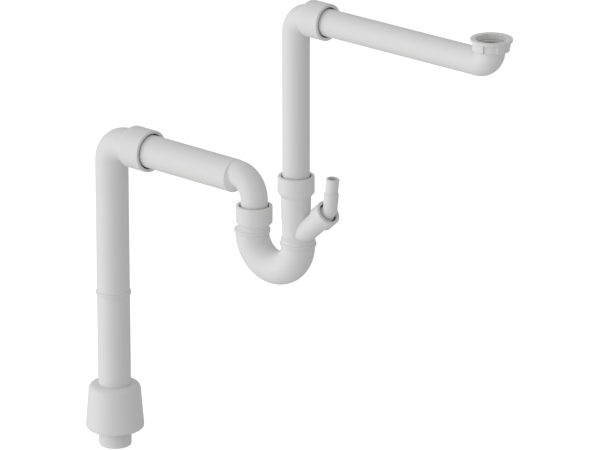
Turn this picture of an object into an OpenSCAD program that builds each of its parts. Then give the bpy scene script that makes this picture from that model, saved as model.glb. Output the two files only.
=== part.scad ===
// Space-saving sink waste trap: a tubular U-bend trap with push-fit lip-seal sockets,
// a hose branch for an appliance, and a long offset drain pipe with a floor cover.
// The origin is the centre of the sink nut's mouth, +Z is up, and all the pipe axes
// lie in the XZ plane. The drain runs from the sink nut towards -X.

/* [Pipes] */
// Outside diameter of the pipes between sink and trap
small_d = 40; // [38:1:44]
// Outside diameter of the pipes between trap and drain
large_d = 50; // [48:1:54]
// Wall thickness of the pipes
wall = 1.9; // [1.6:0.1:2.4]

/* [Layout] */
// Distance from the sink nut's axis to the drop pipe's axis
reach = 366; // [200:1:600]
// Depth of the upper pipe's axis below the sink nut's mouth
upper_depth = 38.5; // [38.5:0.5:60]
// Depth of the trap's inlet mouth below the sink nut's mouth
inlet_depth = 282.5; // [200:0.5:500]
// Distance between the trap's inlet axis and its outlet axis
leg_pitch = 83; // [78:1:100]
// Height of the trap's inlet mouth above its outlet mouth
outlet_drop = 64.5; // [50:0.5:68]
// Distance from the trap's outlet axis to the floor pipe's axis
link_run = 291; // [180:1:500]
// Depth of the weld bead on the floor pipe
bead_depth = 552.5; // [400:0.5:650]
// Depth of the floor pipe's open end
floor_depth = 799.5; // [795:0.5:1000]

/* [Sink nut] */
// Bore of the union nut, at the crests of its G 1 1/2 thread
thread_d = 45; // [44.5:0.1:46]
// Outside diameter of the nut's top flange
nut_flange_d = 60; // [59:1:66]
// Height of the nut
nut_h = 16.5; // [16.5:0.1:20]
// Number of grip lugs around the nut
lug_count = 4; // [3:1:6]
// Angle that each grip lug takes up, in degrees
lug_angle = 48; // [30:1:50]
// Angle by which the nut is turned from the X axis, in degrees
nut_turn = -8.5; // [-90:0.5:90]

/* [Hose branch] */
// Angle of the branch above the horizontal
branch_angle = 42; // [38:1:48]
// Diameter of the nozzle's plug-in spigot
spigot_d = 25; // [23:1:26]
// Distance from the trap's inlet axis to the nozzle's corner, along the branch
branch_len = 89; // [85:1:100]
// Angle of the hose tail above the horizontal
tail_angle = 84; // [75:1:90]
// Length of the hose tail from the corner to its tip
tail_len = 51; // [46:1:60]

/* [Floor cover] */
// Height of the floor cover
cover_h = 72; // [50:1:90]
// Length of pipe that stands out below the floor cover
cover_gap = 27.5; // [20:0.5:40]
// Diameter of the cover at its widest
cover_d = 89.2; // [84:0.1:100]

/* [Hidden] */
$fn = 96;

rs = small_d / 2;
rl = large_d / 2;
rn = spigot_d / 2;
cut = 1;                              // how far a cutting shape runs past the face it opens
lap = 0.01;                           // how far a straight piece runs into the bend it joins

x_drop = -reach;
x_out = x_drop - leg_pitch;
x_floor = x_out - link_run;
z_upper = -upper_depth;
z_inlet = -inlet_depth;
z_outlet = z_inlet - outlet_drop;
z_link = z_outlet + 41.5;             // axis of the small pipe leaving the trap
z_link_l = z_link - (rl - rs) + 0.3;  // the large pipe is nearly flush with the small one on top
z_bead = -bead_depth;
z_end = -floor_depth;

sink_bend = 22;                       // centre-line radii of the bends
drop_bend = 26;
outlet_bend_r = 32;
floor_bend = 31;
nozzle_bend = 14;

ring_t = 4;                           // push-fit socket: retaining ring, seal groove and rim
seal_t = 8;
play = 0.1;
rim = 7;                              // socket wall outside the pipe, ring, seal and play
seat = 4.6;                           // ring and seal seat outside the pipe's surface
mouth = 2.2;                          // open gap around the pipe at the mouth
slip = 0.3;                           // clearance between a socket's bore and its pipe
drop_mouth = 62.5;                    // socket mouths, measured from their elbow's axis
floor_mouth = 83;
collar_h = 25.2;                      // straight part of the trap's collars
collar_cone = 6.3;                    // height of the cone under them
leg_r = rs + 1.8;

offset_u = 4;                         // the U-bend's legs stand outwards from the inlet and outlet
bend_u = leg_pitch / 2 + offset_u;
z_weld = z_outlet - 39.5;
z_arc = z_weld - 1.5;
bead_r = 1.9;                         // radius of a weld bead's rolled edge

white = [0.88, 0.88, 0.87];
rubber = [0.17, 0.17, 0.18];
pale_rubber = [0.8, 0.8, 0.79];

// Upright round bar from z0 up to z1 on the axis at x
module bar_z(r, x, z0, z1) translate([x, 0, z0]) cylinder(r = r, h = z1 - z0);

// Level round bar from x0 to x1 on the axis at height z
module bar_x(r, z, x0, x1) translate([x0, 0, z]) rotate([0, 90, 0]) cylinder(r = r, h = x1 - x0);

// Round bar bent in the XZ plane about (x, z), between two polar angles
module bend(r, bend_r, x, z, from, to)
    translate([x, 0, z]) rotate([90, 0, 0]) rotate([0, 0, from])
        rotate_extrude(angle = to - from) translate([bend_r, 0]) circle(r = r);

// Puts a shape drawn about +Z onto the axis of an elbow's socket, its mouth facing +X
module facing_x(x, z) translate([x, 0, z]) rotate([0, 90, 0]) children();

// Puts a shape drawn about +Z at a point in the XZ plane, tilted to an angle above the horizontal
module facing_angle(x, z, angle) translate([x, 0, z]) rotate([0, 90 - angle, 0]) children();

// Room inside a push-fit socket: ring seat with its snap groove, seal groove, then the bore
module socket_room(r, depth) {
    groove_end = ring_t + seal_t + 2 * play;
    rotate_extrude() polygon([[0, cut], [r + seat, cut], [r + seat, -1.5], [r + seat + 0.5, -1.9],
        [r + seat + 0.5, -2.7], [r + seat, -3.1], [r + seat, -groove_end], [r + slip, -groove_end],
        [r + slip, -depth], [0, -depth]]);
}

// Elbow socket from outside: chamfered mouth, straight collar and a rounded shoulder
module elbow_collar(r, len, shoulder) rotate_extrude() {
    polygon([[0, 0], [r + rim - 0.8, 0], [r + rim, -0.8], [r + rim, -len],
        [r + rim - shoulder, -len - shoulder], [r - 1, -len - shoulder - 2], [0, -len - shoulder - 2]]);
    translate([r + rim - shoulder, -len]) circle(r = shoulder);
}

// Snap-in ring that keeps the lip seal in its socket
module retaining_ring(r) rotate_extrude()
    polygon([[r + mouth + 0.6, 0], [r + seat - play / 2, 0], [r + seat - play / 2, -1.6],
        [r + seat + 0.4, -1.95], [r + seat + 0.4, -2.65], [r + seat - play / 2, -3],
        [r + seat - play / 2, -ring_t], [r + mouth, -ring_t], [r + mouth, -0.6]]);

// Lip seal with a thin wiper at the mouth and a long sealing lip behind it
module lip_seal(r) {
    top = -ring_t - play;
    rotate_extrude() translate([r, top]) polygon([[seat - play, 0], [seat - play, -seal_t],
        [2.3, -seal_t], [0.05, -7.6], [0.05, -6.4], [1.9, -5], [1.9, -3.4], [0.05, -2.6],
        [0.05, -1.8], [2.3, 0]]);
}

// Rolled edge of a butt weld on an upright pipe, on one side of the weld only
module half_bead(r, x, z, side) translate([x, 0, z]) rotate_extrude() intersection() {
    translate([r - 0.1, side * 1.2]) circle(r = bead_r);
    translate([r - 2 * bead_r, side > 0 ? 0 : -4]) square([4 * bead_r, 4]);
}

// Pipe end with a lead-in chamfer, drawn about +Z with its end at z = 0
module chamfered_end(r, len) {
    cylinder(r1 = r - 0.9, r2 = r, h = 3);
    translate([0, 0, 3]) cylinder(r = r, h = len - 3);
}

// Sink nut: flange, four broad grip lugs, threaded bore and the shoulder under the collar
flange_h = 4.2;
nut_r = 25.8;
lug_r = 28;
nut_shoulder = 2.7;
thread_end = nut_h - 8;               // below this the bore is relieved for the gasket

module sink_union_nut() color(white) rotate([0, 0, nut_turn]) difference() {
    union() {
        rotate_extrude() polygon([[0, 0], [nut_flange_d / 2 - 0.6, 0], [nut_flange_d / 2, -0.6],
            [nut_flange_d / 2, -flange_h + 0.6], [nut_flange_d / 2 - 0.6, -flange_h],
            [nut_r, -flange_h], [nut_r, -nut_h + 1], [nut_r - 1, -nut_h], [0, -nut_h]]);
        for (i = [0 : lug_count - 1]) rotate([0, 0, i * 360 / lug_count - lug_angle / 2])
            rotate_extrude(angle = lug_angle) polygon([[nut_r - 2, -flange_h], [lug_r, -flange_h],
                [lug_r, -nut_h + 1.2], [lug_r - 1.2, -nut_h], [nut_r - 2, -nut_h]]);
    }
    rotate_extrude() polygon([[0, cut], [thread_d / 2 + 1.2, cut], [thread_d / 2 + 1.2, 0],
        [thread_d / 2, -0.5], [thread_d / 2, -thread_end], [thread_d / 2 + 0.6, -thread_end - 0.6],
        [thread_d / 2 + 0.6, -nut_h + nut_shoulder], [rs + 0.5, -nut_h + nut_shoulder],
        [rs + 0.5, -nut_h - cut], [0, -nut_h - cut]]);
}

// Flat gasket on the connector's collar
collar_top = -nut_h + nut_shoulder + 0.1 + 2.4;

module sink_gasket() color(pale_rubber) translate([0, 0, collar_top]) difference() {
    cylinder(r = thread_d / 2 - 0.4, h = 2.6);
    translate([0, 0, -cut]) cylinder(r = 16.5, h = 2.6 + 2 * cut);
}

// Connector under the sink: collar, tight elbow and the long upper pipe, one moulding
small_insert = 27;
x_upper_end = x_drop + drop_mouth - small_insert;

module sink_connector() color(white) {
    z_turn = z_upper + sink_bend;
    difference() {
        union() {
            bar_z(thread_d / 2 - 0.4, 0, collar_top - 2.4, collar_top);
            bar_z(rs, 0, z_turn - lap, collar_top - 2.4);
            bend(rs, sink_bend, -sink_bend, z_turn, -90, 0);
            facing_x(x_upper_end, z_upper) chamfered_end(rs, -sink_bend - x_upper_end);
        }
        bar_z(rs - wall, 0, z_turn, collar_top + cut);
        bend(rs - wall, sink_bend, -sink_bend, z_turn, -90, 0);
        bar_x(rs - wall, z_upper, x_upper_end - cut, -sink_bend);
    }
}

// Drop pipe: push-fit socket, elbow and the long upright pipe
small_room = 36;
z_drop_end = z_inlet - 35;

module drop_pipe() color(white) {
    x_turn = x_drop + drop_bend;
    z_turn = z_upper - drop_bend;
    difference() {
        union() {
            facing_x(x_drop + drop_mouth, z_upper) elbow_collar(rs, 33, 6);
            bend(rs, drop_bend, x_turn, z_turn, 90, 180);
            translate([x_drop, 0, z_drop_end]) chamfered_end(rs, z_turn - z_drop_end);
        }
        facing_x(x_drop + drop_mouth, z_upper) socket_room(rs, small_room);
        bar_x(rs - wall, z_upper, x_turn, x_drop + drop_mouth - small_room);
        bend(rs - wall, drop_bend, x_turn, z_turn, 90, 180);
        bar_z(rs - wall, x_drop, z_drop_end - cut, z_turn);
    }
}

module drop_socket_seal() color(rubber) facing_x(x_drop + drop_mouth, z_upper) lip_seal(rs);

module drop_socket_ring() color(white) facing_x(x_drop + drop_mouth, z_upper) retaining_ring(rs);

// The trap's two collars from outside, down to their legs, about +Z with the mouth at z = 0
module trap_collar(leg_end) polygon([[0, 0], [rs + rim - 0.9, 0], [rs + rim, -0.9],
    [rs + rim, -collar_h], [leg_r, -collar_h - collar_cone], [leg_r, -leg_end], [0, -leg_end]]);

// Shoulder where a leg steps out to the U-bend's size, flush with the leg on one side
module step_up(x, straight) translate([x, 0, z_weld]) {
    cylinder(r = rl, h = straight);
    translate([0, 0, straight]) cylinder(r1 = rl, r2 = rl - 10, h = 10);
}

corner_x = x_drop + branch_len * cos(branch_angle);
neck_r = rn + 3.5;
branch_mouth = 4;                     // the branch's mouth lies this far short of the corner
branch_room = 21;

// Inlet leg: collar, tapered leg, step to the U-bend and the upward-slanting hose branch
leg_taper = 62;
waist = 77;
waist_r = rs + 0.6;
z_branch = z_inlet - 99.5;            // where the branch's axis meets the leg's axis
corner_z = z_branch + branch_len * sin(branch_angle);

module inlet_leg() color(white) difference() {
    union() {
        translate([x_drop, 0, z_inlet]) rotate_extrude() {
            trap_collar(leg_taper);
            polygon([[0, -leg_taper], [leg_r, -leg_taper], [waist_r, -waist],
                [waist_r, z_weld - z_inlet + 3], [0, z_weld - z_inlet + 3]]);
        }
        step_up(x_drop + offset_u, 8.5);
        half_bead(rl, x_drop + offset_u, z_weld, 1);
        difference() {
            facing_angle(x_drop, z_branch, branch_angle) rotate_extrude() polygon([[0, 0], [neck_r, 0],
                [neck_r, branch_len - branch_mouth - 21], [rn + rim, branch_len - branch_mouth - 19],
                [rn + rim, branch_len - branch_mouth - 0.8],
                [rn + rim - 0.8, branch_len - branch_mouth], [0, branch_len - branch_mouth]]);
            bar_z(rl + 5, x_drop + offset_u, z_weld - 30, z_weld + 1.5); // keeps the U-bend's way clear
        }
    }
    translate([x_drop, 0, z_inlet]) socket_room(rs, leg_taper);
    bar_z(rs - wall, x_drop, z_weld - cut, z_inlet - leg_taper);
    facing_angle(x_drop, z_branch, branch_angle) {
        cylinder(r = rn - wall, h = branch_len - branch_mouth - branch_room);
        translate([0, 0, branch_len - branch_mouth]) socket_room(rn, branch_room);
    }
}

module inlet_seal() color(rubber) translate([x_drop, 0, z_inlet]) lip_seal(rs);

module inlet_ring() color(white) translate([x_drop, 0, z_inlet]) retaining_ring(rs);

// U-bend, butt-welded to both legs, with a rolled weld bead on each end
module u_bend() color(white) {
    x_mid = x_drop - leg_pitch / 2;
    difference() {
        union() {
            bend(rl, bend_u, x_mid, z_arc, 180, 360);
            for (side = [-1, 1]) {
                bar_z(rl, x_mid + side * bend_u, z_arc, z_weld);
                half_bead(rl, x_mid + side * bend_u, z_weld, -1);
            }
        }
        bend(rl - wall, bend_u, x_mid, z_arc, 180, 360);
        for (side = [-1, 1]) bar_z(rl - wall, x_mid + side * bend_u, z_arc, z_weld + cut);
    }
}

// Outlet socket: collar and a short leg that steps out to the U-bend
outlet_room = 33;

module outlet_socket() color(white) difference() {
    union() {
        translate([x_out, 0, z_outlet]) rotate_extrude() trap_collar(z_outlet - z_weld - 2);
        step_up(x_out - offset_u, 3);
        half_bead(rl, x_out - offset_u, z_weld, 1);
    }
    translate([x_out, 0, z_outlet]) socket_room(rs, outlet_room);
    bar_z(rs - wall, x_out, z_weld - cut, z_outlet - outlet_room);
}

module outlet_seal() color(rubber) translate([x_out, 0, z_outlet]) lip_seal(rs);

module outlet_ring() color(white) translate([x_out, 0, z_outlet]) retaining_ring(rs);

// Outlet bend: small spigot and bend, then an off-centre step to the large level pipe
large_insert = 28;
x_step = x_out - 38;
x_link_end = x_floor + floor_mouth - large_insert;

module outlet_bend() color(white) {
    x_turn = x_out - outlet_bend_r;
    z_turn = z_link - outlet_bend_r;
    z_spigot = z_outlet - outlet_room + 0.3;
    difference() {
        union() {
            translate([x_out, 0, z_spigot]) chamfered_end(rs, z_turn - z_spigot);
            bend(rs, outlet_bend_r, x_turn, z_turn, 0, 90);
            bar_x(rs, z_link, x_step, x_turn);
            facing_x(x_link_end, z_link_l) {
                chamfered_end(rl, x_step - x_link_end);
                translate([0, 0, x_step - x_link_end]) cylinder(r1 = rl, r2 = rl - 9, h = 9);
            }
        }
        bar_z(rs - wall, x_out, z_spigot - cut, z_turn);
        bend(rs - wall, outlet_bend_r, x_turn, z_turn, 0, 90);
        bar_x(rs - wall, z_link, x_step - 2 * wall, x_turn);
        bar_x(rl - wall, z_link_l, x_link_end - cut, x_step - wall);
    }
}

// Floor elbow: large push-fit socket, elbow and the first stretch of upright pipe
large_room = 41;

module floor_elbow() color(white) {
    x_turn = x_floor + floor_bend;
    z_turn = z_link_l - floor_bend;
    difference() {
        union() {
            facing_x(x_floor + floor_mouth, z_link_l) elbow_collar(rl, 36, 8);
            bar_x(rl, z_link_l, x_turn, x_floor + floor_mouth - 42);
            bend(rl, floor_bend, x_turn, z_turn, 90, 180);
            bar_z(rl, x_floor, z_bead, z_turn);
            half_bead(rl, x_floor, z_bead, 1);
        }
        facing_x(x_floor + floor_mouth, z_link_l) socket_room(rl, large_room);
        bar_x(rl - wall, z_link_l, x_turn, x_floor + floor_mouth - large_room);
        bend(rl - wall, floor_bend, x_turn, z_turn, 90, 180);
        bar_z(rl - wall, x_floor, z_bead - cut, z_turn);
    }
}

module floor_socket_seal() color(rubber)
    facing_x(x_floor + floor_mouth, z_link_l) lip_seal(rl);

module floor_socket_ring() color(white)
    facing_x(x_floor + floor_mouth, z_link_l) retaining_ring(rl);

// Lower stretch of the upright pipe, welded on under the bead, open at the floor. A fine
// groove under the cover marks how far it goes into a socket.
module floor_tail() color(white) difference() {
    union() {
        translate([x_floor, 0, z_end]) rotate_extrude() polygon([[0, 0], [rl - 0.9, 0], [rl, 3],
            [rl, 22], [rl - 0.6, 22], [rl - 0.6, 24.5], [rl, 24.5], [rl, z_bead - z_end],
            [0, z_bead - z_end]]);
        half_bead(rl, x_floor, z_bead, -1);
    }
    bar_z(rl - wall, x_floor, z_end - cut, z_bead + cut);
}

// Floor cover: tapered shell with rounded edges, and a sleeve that grips the pipe
cover_top_r = 40;
top_edge_r = 9;
edge_r = 5;
cover_wall = 2.4;

// Points of an arc about (x, z), from one polar angle to another
function arc(x, z, r, from, to) =
    [for (i = [0 : 6]) [x + r * cos(from + (to - from) * i / 6), z + r * sin(from + (to - from) * i / 6)]];

module floor_cover() color(white) translate([x_floor, 0, z_end + cover_gap + cover_h]) {
    x_top = cover_top_r - top_edge_r;
    x_low = cover_d / 2 - edge_r;
    z_low = -cover_h + edge_r;
    grip = rl + 0.08;
    rotate_extrude() polygon(concat([[grip, 0]], arc(x_top, -top_edge_r, top_edge_r, 90, 0),
        arc(x_low, z_low, edge_r, 0, -90), [[x_low - 1.5, -cover_h], [x_low - 1.5, -cover_h + cover_wall]],
        arc(x_low, z_low, edge_r - cover_wall, -90, 0),
        arc(x_top, -top_edge_r, top_edge_r - cover_wall, 0, 90),
        [[grip + cover_wall, -cover_wall], [grip + cover_wall, -16], [grip, -16]]));
}

module nozzle_seal() color(rubber)
    facing_angle(corner_x, corner_z, branch_angle) translate([0, 0, -branch_mouth]) lip_seal(rn);

module nozzle_ring() color(white)
    facing_angle(corner_x, corner_z, branch_angle) translate([0, 0, -branch_mouth]) retaining_ring(rn);

// Hose nozzle: plug-in spigot, bend and a stepped hose tail with a rolled tip
nozzle_r = 10.8;
nozzle_bore = 6.8;

module hose_nozzle() color(white) facing_angle(corner_x, corner_z, branch_angle) {
    turn = tail_angle - branch_angle;
    tangent = nozzle_bend * tan(turn / 2);
    spigot_end = branch_mouth + branch_room - 2;
    difference() {
        union() {
            rotate_extrude() polygon([[0, -spigot_end], [rn - 0.8, -spigot_end], [rn, -spigot_end + 2.5],
                [rn, -branch_mouth - 4.5], [nozzle_r, -branch_mouth - 3], [nozzle_r, 0.4 - tangent],
                [0, 0.4 - tangent]]);
            bend(nozzle_r - 0.15, nozzle_bend, -nozzle_bend, -tangent, 0, turn);
            rotate([0, -turn, 0]) rotate_extrude() polygon([[0, tangent - 0.4], [nozzle_r, tangent - 0.4],
                [nozzle_r - 0.6, tangent + 5], [nozzle_r, tangent + 7], [nozzle_r - 0.2, tail_len - 23],
                [9.2, tail_len - 22], [9.5, tail_len - 3.4], [10, tail_len - 2.8], [10, tail_len - 1.6],
                [9.5, tail_len - 0.6], [8.6, tail_len], [0, tail_len]]);
        }
        bar_z(nozzle_bore, 0, -spigot_end - cut, 0.4 - tangent);
        bend(nozzle_bore - 0.15, nozzle_bend, -nozzle_bend, -tangent, 0, turn);
        rotate([0, -turn, 0]) bar_z(nozzle_bore, 0, tangent - 0.4, tail_len + cut);
    }
}

sink_union_nut();
sink_gasket();
sink_connector();
drop_pipe();
drop_socket_seal();
drop_socket_ring();
inlet_leg();
inlet_seal();
inlet_ring();
u_bend();
outlet_socket();
outlet_seal();
outlet_ring();
outlet_bend();
floor_elbow();
floor_socket_seal();
floor_socket_ring();
floor_tail();
floor_cover();
nozzle_seal();
nozzle_ring();
hose_nozzle();
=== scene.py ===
"""Space-saving sink waste trap in white plastic, hanging from its sink nut in a white studio."""

import math

import bpy
from mathutils import Matrix, Vector


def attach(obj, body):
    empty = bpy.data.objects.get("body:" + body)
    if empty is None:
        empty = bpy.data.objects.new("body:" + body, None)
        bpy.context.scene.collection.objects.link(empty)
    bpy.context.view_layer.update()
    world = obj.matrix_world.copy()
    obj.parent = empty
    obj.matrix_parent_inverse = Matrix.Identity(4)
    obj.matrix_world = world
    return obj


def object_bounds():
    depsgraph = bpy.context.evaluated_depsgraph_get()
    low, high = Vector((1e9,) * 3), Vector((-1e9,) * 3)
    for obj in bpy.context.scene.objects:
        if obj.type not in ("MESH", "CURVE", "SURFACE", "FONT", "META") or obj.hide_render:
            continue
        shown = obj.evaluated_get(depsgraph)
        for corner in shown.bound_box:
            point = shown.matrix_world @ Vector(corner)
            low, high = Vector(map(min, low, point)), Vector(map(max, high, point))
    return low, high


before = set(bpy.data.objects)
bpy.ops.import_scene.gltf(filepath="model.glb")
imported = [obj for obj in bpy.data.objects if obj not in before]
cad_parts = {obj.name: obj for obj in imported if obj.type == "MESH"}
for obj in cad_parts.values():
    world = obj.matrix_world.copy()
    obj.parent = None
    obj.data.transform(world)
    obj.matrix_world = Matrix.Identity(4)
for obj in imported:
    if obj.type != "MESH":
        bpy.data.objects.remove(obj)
cad_low, cad_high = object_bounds()

MM = 0.001


# ---------------------------------------------------------------- camera

DROP_PIPE_X = -0.366          # the camera is aimed from the top of the drop pipe's axis
CAMERA_AZIMUTH = math.radians(42.072)
CAMERA_ELEVATION = math.radians(19.011)
CAMERA_DISTANCE = 7.177518
CAMERA_RIGHT = 0.005641       # from the drop pipe's axis to the middle of the picture
CAMERA_UP = -0.339352


def add_camera():
    sin_a, cos_a = math.sin(CAMERA_AZIMUTH), math.cos(CAMERA_AZIMUTH)
    sin_e, cos_e = math.sin(CAMERA_ELEVATION), math.cos(CAMERA_ELEVATION)
    right = Vector((cos_a, sin_a, 0))
    up = Vector((-sin_a * sin_e, cos_a * sin_e, cos_e))
    back = Vector((sin_a * cos_e, -cos_a * cos_e, sin_e))
    data = bpy.data.cameras.new("camera")
    data.sensor_width = 36
    data.lens = 300
    data.clip_start, data.clip_end = 0.5, 100
    camera = bpy.data.objects.new("camera", data)
    bpy.context.scene.collection.objects.link(camera)
    place = Vector((DROP_PIPE_X, 0, 0)) + CAMERA_RIGHT * right + CAMERA_UP * up + CAMERA_DISTANCE * back
    camera.matrix_world = Matrix.Translation(place) @ Matrix((right, up, back)).transposed().to_4x4()
    bpy.context.scene.camera = camera


# ---------------------------------------------------------------- materials

def new_material(name):
    material = bpy.data.materials.new(name)
    material.use_nodes = True
    nodes = material.node_tree.nodes
    return material, nodes, material.node_tree.links, nodes["Principled BSDF"]


def moulded_plastic(name, colour, roughness, grain_height):
    """Semi-matte moulded plastic: a faint cloud in its white, an uneven sheen and a fine mould grain."""
    material, nodes, links, shader = new_material(name)
    place = nodes.new("ShaderNodeTexCoord")
    cloud = nodes.new("ShaderNodeTexNoise")
    cloud.inputs["Scale"].default_value = 14
    cloud.inputs["Detail"].default_value = 3
    links.new(place.outputs["Object"], cloud.inputs["Vector"])
    tint = nodes.new("ShaderNodeMix")
    tint.data_type = "RGBA"
    tint.inputs["A"].default_value = (*[0.975 * c for c in colour], 1)
    tint.inputs["B"].default_value = (*colour, 1)
    links.new(cloud.outputs["Fac"], tint.inputs["Factor"])
    links.new(tint.outputs["Result"], shader.inputs["Base Color"])
    sheen = nodes.new("ShaderNodeMapRange")
    sheen.inputs["To Min"].default_value = roughness - 0.05
    sheen.inputs["To Max"].default_value = roughness + 0.05
    links.new(cloud.outputs["Fac"], sheen.inputs["Value"])
    links.new(sheen.outputs["Result"], shader.inputs["Roughness"])
    grain = nodes.new("ShaderNodeTexNoise")
    grain.inputs["Scale"].default_value = 900
    grain.inputs["Detail"].default_value = 2
    links.new(place.outputs["Object"], grain.inputs["Vector"])
    bump = nodes.new("ShaderNodeBump")
    bump.inputs["Strength"].default_value = 0.25
    bump.inputs["Distance"].default_value = grain_height
    links.new(grain.outputs["Fac"], bump.inputs["Height"])
    links.new(bump.outputs["Normal"], shader.inputs["Normal"])
    return material


def seal_rubber():
    """Matt black rubber with a fine bloom."""
    material, nodes, links, shader = new_material("seal_rubber")
    place = nodes.new("ShaderNodeTexCoord")
    bloom = nodes.new("ShaderNodeTexNoise")
    bloom.inputs["Scale"].default_value = 220
    bloom.inputs["Detail"].default_value = 4
    links.new(place.outputs["Object"], bloom.inputs["Vector"])
    tint = nodes.new("ShaderNodeMix")
    tint.data_type = "RGBA"
    tint.inputs["A"].default_value = (0.020, 0.020, 0.022, 1)
    tint.inputs["B"].default_value = (0.045, 0.045, 0.048, 1)
    links.new(bloom.outputs["Fac"], tint.inputs["Factor"])
    links.new(tint.outputs["Result"], shader.inputs["Base Color"])
    shader.inputs["Roughness"].default_value = 0.62
    return material


def dress(node, material):
    """Puts a material on every slot of a CAD node."""
    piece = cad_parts[node]
    if not piece.material_slots:
        piece.data.materials.append(material)
    for material_slot in piece.material_slots:
        material_slot.material = material


# ---------------------------------------------------------------- stage and light

def add_floor():
    """A plain white floor under the pipe's end. It takes a little of the object's shade."""
    bpy.ops.object.select_all(action="DESELECT")
    bpy.ops.mesh.primitive_plane_add(size=60, location=(0, 0, cad_low.z - 0.001))
    floor = bpy.context.object
    floor.name = "studio_floor"
    floor.visible_diffuse = floor.visible_glossy = floor.visible_shadow = False
    material, nodes, links, shader = new_material("floor_white")
    shader.inputs["Base Color"].default_value = (0.30, 0.30, 0.30, 1)
    shader.inputs["Roughness"].default_value = 0.9
    shader.inputs["Specular IOR Level"].default_value = 0
    shader.inputs["Emission Color"].default_value = (1, 1, 1, 1)
    shader.inputs["Emission Strength"].default_value = 0.92
    floor.data.materials.append(material)


# azimuth from the camera's side of the object (right positive), elevation, strength
SOFT_LIGHTS = ((-70, 0, 0.871), (-90, 35, 0.252), (-90, -35, 0.079))
FILL_LIGHT = 0.494
PLASTIC_WHITE = (0.80, 0.80, 0.797)
GASKET_PALE = (0.68, 0.68, 0.66)


def add_light():
    """A white studio all round: an even fill and three broad soft lights on the left."""
    scene = bpy.context.scene
    scene.view_settings.view_transform = "Standard"
    world = bpy.data.worlds.new("studio")
    scene.world = world
    world.use_nodes = True
    nodes, links = world.node_tree.nodes, world.node_tree.links
    nodes.clear()
    direction = nodes.new("ShaderNodeTexCoord").outputs["Generated"]
    total = None
    for azimuth, elevation, strength in SOFT_LIGHTS:
        a, e = math.radians(azimuth), math.radians(elevation)
        sideways, forward = math.sin(a) * math.cos(e), math.cos(a) * math.cos(e)
        aim = Vector((sideways * math.cos(CAMERA_AZIMUTH) + forward * math.sin(CAMERA_AZIMUTH),
                      sideways * math.sin(CAMERA_AZIMUTH) - forward * math.cos(CAMERA_AZIMUTH),
                      math.sin(e)))
        facing = nodes.new("ShaderNodeVectorMath")
        facing.operation = "DOT_PRODUCT"
        facing.inputs[1].default_value = aim
        links.new(direction, facing.inputs[0])
        forwards = nodes.new("ShaderNodeMath")
        forwards.operation = "MAXIMUM"
        forwards.inputs[1].default_value = 0
        links.new(facing.outputs["Value"], forwards.inputs[0])
        falloff = nodes.new("ShaderNodeMath")
        falloff.operation = "POWER"
        falloff.inputs[1].default_value = 3
        links.new(forwards.outputs[0], falloff.inputs[0])
        scaled = nodes.new("ShaderNodeMath")
        scaled.operation = "MULTIPLY_ADD"
        scaled.inputs[1].default_value = strength / PLASTIC_WHITE[0]
        links.new(falloff.outputs[0], scaled.inputs[0])
        if total is None:
            scaled.inputs[2].default_value = FILL_LIGHT / PLASTIC_WHITE[0]
        else:
            links.new(total, scaled.inputs[2])
        total = scaled.outputs[0]
    light = nodes.new("ShaderNodeBackground")
    links.new(total, light.inputs["Strength"])
    backdrop = nodes.new("ShaderNodeBackground")
    seen = nodes.new("ShaderNodeLightPath")
    mix = nodes.new("ShaderNodeMixShader")
    links.new(seen.outputs["Is Camera Ray"], mix.inputs[0])
    links.new(light.outputs[0], mix.inputs[1])
    links.new(backdrop.outputs[0], mix.inputs[2])
    links.new(mix.outputs[0], nodes.new("ShaderNodeOutputWorld").inputs["Surface"])


# ---------------------------------------------------------------- the object

RUBBER_NODES = ("drop_socket_seal", "inlet_seal", "outlet_seal", "floor_socket_seal", "nozzle_seal")

THREAD_PITCH = 2.309 * MM     # G 1 1/2
THREAD_TURNS = 2.75
THREAD_TOP = -1.3 * MM        # middle of the first ridge, under the nut's mouth
THREAD_CREST_R = 22.0 * MM
THREAD_RIDGE_H = 0.6 * MM
THREAD_RIDGE_W = 1.5 * MM


def nut_thread():
    """The thread inside the sink nut: a low ridge that winds down its bore."""
    bpy.ops.object.select_all(action="DESELECT")
    bpy.ops.mesh.primitive_circle_add(vertices=3, radius=1, fill_type="NOTHING",
                                      rotation=(math.radians(90), math.radians(-90), 0))
    thread = bpy.context.object
    thread.name = "nut_thread"
    # a triangle of radius 1 is 1.5 tall from base to point, and the square root of 3 wide
    thread.scale = (THREAD_RIDGE_W / math.sqrt(3), THREAD_RIDGE_H / 1.5, 1)
    thread.location = (THREAD_CREST_R + THREAD_RIDGE_H / 1.5, 0, THREAD_TOP)
    bpy.ops.object.transform_apply(location=True, rotation=True, scale=True)
    winding = thread.modifiers.new("winding", "SCREW")
    winding.axis = "Z"
    winding.angle = 2 * math.pi * THREAD_TURNS
    winding.screw_offset = -THREAD_PITCH * THREAD_TURNS
    winding.steps = winding.render_steps = 264
    bpy.ops.object.modifier_apply(modifier=winding.name)
    bpy.ops.object.mode_set(mode="EDIT")
    bpy.ops.mesh.select_all(action="SELECT")
    bpy.ops.mesh.fill_holes(sides=3)
    bpy.ops.mesh.select_all(action="SELECT")
    bpy.ops.mesh.normals_make_consistent(inside=False)
    bpy.ops.object.mode_set(mode="OBJECT")
    bpy.ops.object.shade_smooth_by_angle(angle=math.radians(40))
    return thread


add_camera()
white_plastic = moulded_plastic("white_plastic", PLASTIC_WHITE, 0.45, 0.00004)
pale_rubber = moulded_plastic("pale_rubber", GASKET_PALE, 0.60, 0.00002)
black_rubber = seal_rubber()
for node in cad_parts:
    dress(node, black_rubber if node in RUBBER_NODES else white_plastic)
dress("sink_gasket", pale_rubber)

thread = nut_thread()
thread.data.materials.append(white_plastic)
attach(thread, "sink_nut")

add_floor()
add_light()
